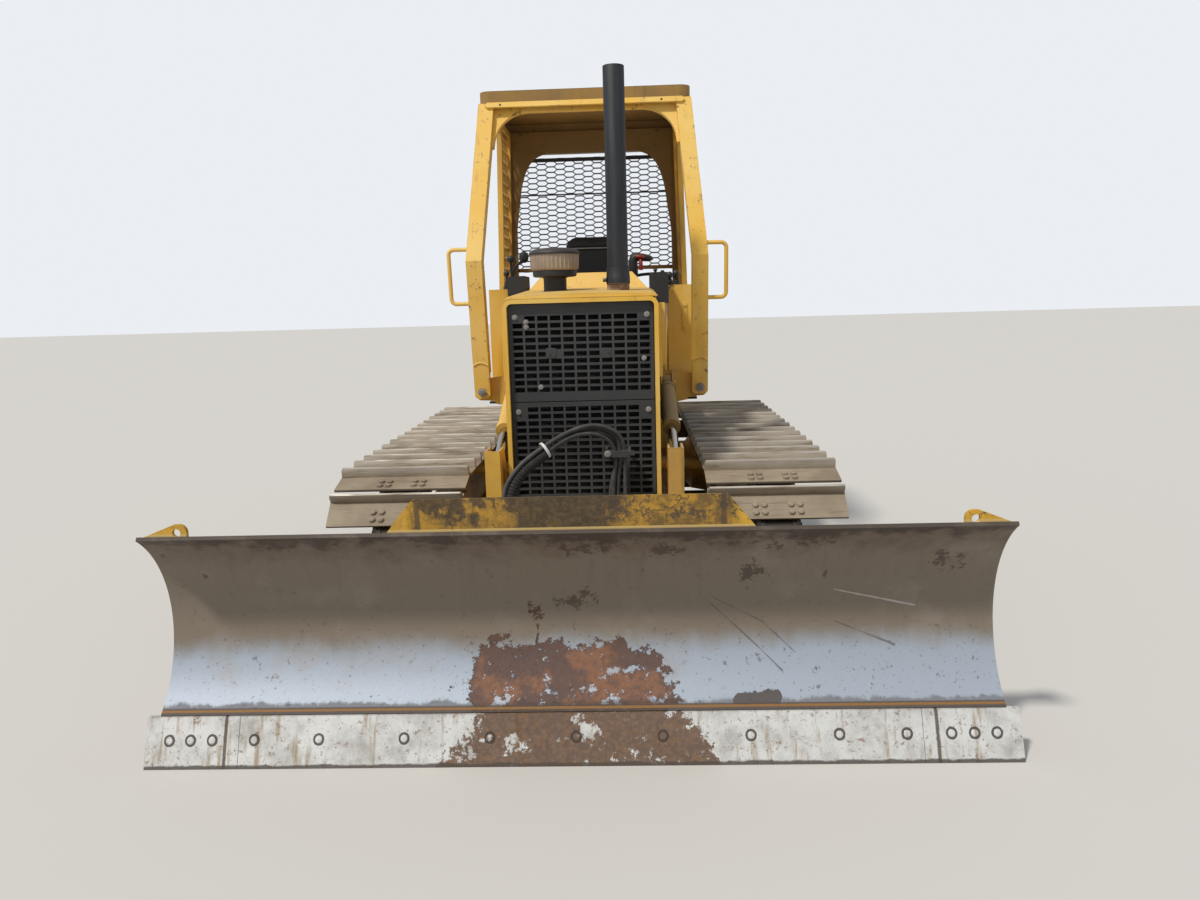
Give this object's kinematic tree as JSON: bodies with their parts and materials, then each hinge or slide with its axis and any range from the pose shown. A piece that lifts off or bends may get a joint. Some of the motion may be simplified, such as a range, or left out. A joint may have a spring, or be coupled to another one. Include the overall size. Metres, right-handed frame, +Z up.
{
  "type": "crawler bulldozer",
  "caption": "Crawler bulldozer with wide tracks, open canopy, upright exhaust and a curved front blade that lifts, angles and tilts on a push frame.",
  "frame": {"origin": "on the ground, under the middle of the overall length and width", "axes": "the blade's front looks along -Y, +Z is up, +X is the machine's left side"},
  "size_m": [3.136, 4.3, 2.7671],
  "materials": {
    "yellow_paint": "aged semi-gloss yellow paint with rust and dirt",
    "worn_steel": "ground-polished wear steel with rust patches",
    "track_steel": "dirty worn track steel",
    "black_paint": "matt black paint",
    "bare_casting": "dark oily casting",
    "chrome_rod": "chromed rod",
    "hose_rubber": "black hose rubber",
    "seat_vinyl": "black seat vinyl",
    "tan_bowl": "smoked tan bowl with a black cap",
    "grey_plastic": "black knobs and stalks"
  },
  "bodies": {
    "tractor": {"main_frame": "yellow_paint", "belly_guard": "yellow_paint", "track_frames": "yellow_paint", "idlers": "track_steel", "sprockets": "track_steel", "final_drives": "yellow_paint", "lower_rollers": "track_steel", "carrier_rollers": "track_steel", "track_left": "track_steel", "track_right": "track_steel", "radiator_guard": "yellow_paint", "grille_upper": "black_paint", "grille_lower": "black_paint", "radiator_core": "black_paint", "engine_block": "bare_casting", "hood": "yellow_paint", "engine_sides": "yellow_paint", "cowl": "yellow_paint", "exhaust_stack": "black_paint", "pre_cleaner": "tan_bowl", "floor_platform": "black_paint", "consoles": "yellow_paint", "side_boxes": "black_paint", "fuel_tank": "yellow_paint", "rear_case": "yellow_paint", "drawbar": "track_steel", "rops_frame": "yellow_paint", "roof_panel": "yellow_paint", "side_screens": "yellow_paint", "rear_screen": "black_paint", "grab_handles": "yellow_paint", "seat_frame": "black_paint", "seat_cushion": "seat_vinyl", "seat_back": "seat_vinyl", "control_levers": "grey_plastic", "hoses": "hose_rubber", "hose_clamp": "black_paint"},
    "c_frame": {"c_frame": "yellow_paint"},
    "blade_yoke": {"blade_yoke": "yellow_paint"},
    "blade": {"moldboard": "worn_steel", "blade_back": "yellow_paint", "top_guard": "yellow_paint", "cutting_edge": "worn_steel", "end_bits": "worn_steel"},
    "lift_barrel_left": {"lift_barrel_left": "yellow_paint"},
    "lift_barrel_right": {"lift_barrel_right": "yellow_paint"},
    "lift_rod_left": {"lift_rod_left": "chrome_rod"},
    "lift_rod_right": {"lift_rod_right": "chrome_rod"},
    "angle_barrel_left": {"angle_barrel_left": "yellow_paint"},
    "angle_barrel_right": {"angle_barrel_right": "yellow_paint"},
    "angle_rod_left": {"angle_rod_left": "chrome_rod"},
    "angle_rod_right": {"angle_rod_right": "chrome_rod"},
    "tilt_barrel": {"tilt_barrel": "yellow_paint"},
    "tilt_rod": {"tilt_rod": "chrome_rod"}
  },
  "joints": [
    {"name": "blade_lift", "type": "hinge", "parent": "tractor", "child": "c_frame", "pos_m": [0, 0.45, 0.45], "axis": [-1, 0, 0], "range_deg": [-8, 16.5], "deforming": ["hoses"]},
    {"name": "blade_angle", "type": "hinge", "parent": "c_frame", "child": "blade_yoke", "pos_m": [0, -1.65, 0.4], "axis": [0, 0, 1], "range_deg": [-25, 25]},
    {"name": "blade_tilt", "type": "hinge", "parent": "blade_yoke", "child": "blade", "pos_m": [0, -1.84, 0.4], "axis": [0, 1, 0], "range_deg": [-8, 8]},
    {"name": "lift_swing_left", "type": "hinge", "parent": "tractor", "child": "lift_barrel_left", "pos_m": [0.42, -0.18, 1.17], "axis": [-1, 0, 0], "range_deg": [-12.5, 25.5]},
    {"name": "lift_slide_left", "type": "slide", "parent": "lift_barrel_left", "child": "lift_rod_left", "axis": [0, -0.9285, -0.3714], "range_m": [-0.242, 0.119]},
    {"name": "angle_swing_left", "type": "hinge", "parent": "c_frame", "child": "angle_barrel_left", "pos_m": [0.497, -0.88, 0.4], "axis": [0, 0, 1], "range_deg": [-3.4, 3.4]},
    {"name": "angle_slide_left", "type": "slide", "parent": "angle_barrel_left", "child": "angle_rod_left", "axis": [0.0091, -1, 0], "range_m": [-0.222, 0.222]},
    {"name": "lift_swing_right", "type": "hinge", "parent": "tractor", "child": "lift_barrel_right", "pos_m": [-0.42, -0.18, 1.17], "axis": [-1, 0, 0], "range_deg": [-12.5, 25.5]},
    {"name": "lift_slide_right", "type": "slide", "parent": "lift_barrel_right", "child": "lift_rod_right", "axis": [0, -0.9285, -0.3714], "range_m": [-0.242, 0.119]},
    {"name": "angle_swing_right", "type": "hinge", "parent": "c_frame", "child": "angle_barrel_right", "pos_m": [-0.497, -0.88, 0.4], "axis": [0, 0, 1], "range_deg": [-3.4, 3.4]},
    {"name": "angle_slide_right", "type": "slide", "parent": "angle_barrel_right", "child": "angle_rod_right", "axis": [-0.0091, -1, 0], "range_m": [-0.222, 0.222]},
    {"name": "tilt_swing", "type": "hinge", "parent": "blade_yoke", "child": "tilt_barrel", "pos_m": [-0.15, -1.772, 0.76], "axis": [0, 1, 0], "range_deg": [-5.6, 5.6]},
    {"name": "tilt_slide", "type": "slide", "parent": "tilt_barrel", "child": "tilt_rod", "axis": [0.9928, 0, -0.1198], "range_m": [-0.049, 0.049]}
  ],
  "couplings": [
    {"joint": "lift_swing_left", "follows": "blade_lift", "ratio": 1.53},
    {"joint": "lift_slide_left", "follows": "blade_lift", "m_per_rad": -0.83},
    {"joint": "angle_swing_left", "follows": "blade_angle", "ratio": 0.13},
    {"joint": "angle_slide_left", "follows": "blade_angle", "m_per_rad": -0.5},
    {"joint": "lift_swing_right", "follows": "blade_lift", "ratio": 1.53},
    {"joint": "lift_slide_right", "follows": "blade_lift", "m_per_rad": -0.83},
    {"joint": "angle_swing_right", "follows": "blade_angle", "ratio": 0.13},
    {"joint": "angle_slide_right", "follows": "blade_angle", "m_per_rad": 0.5},
    {"joint": "tilt_swing", "follows": "blade_tilt", "ratio": 0.67},
    {"joint": "tilt_slide", "follows": "blade_tilt", "m_per_rad": 0.34}
  ]
}
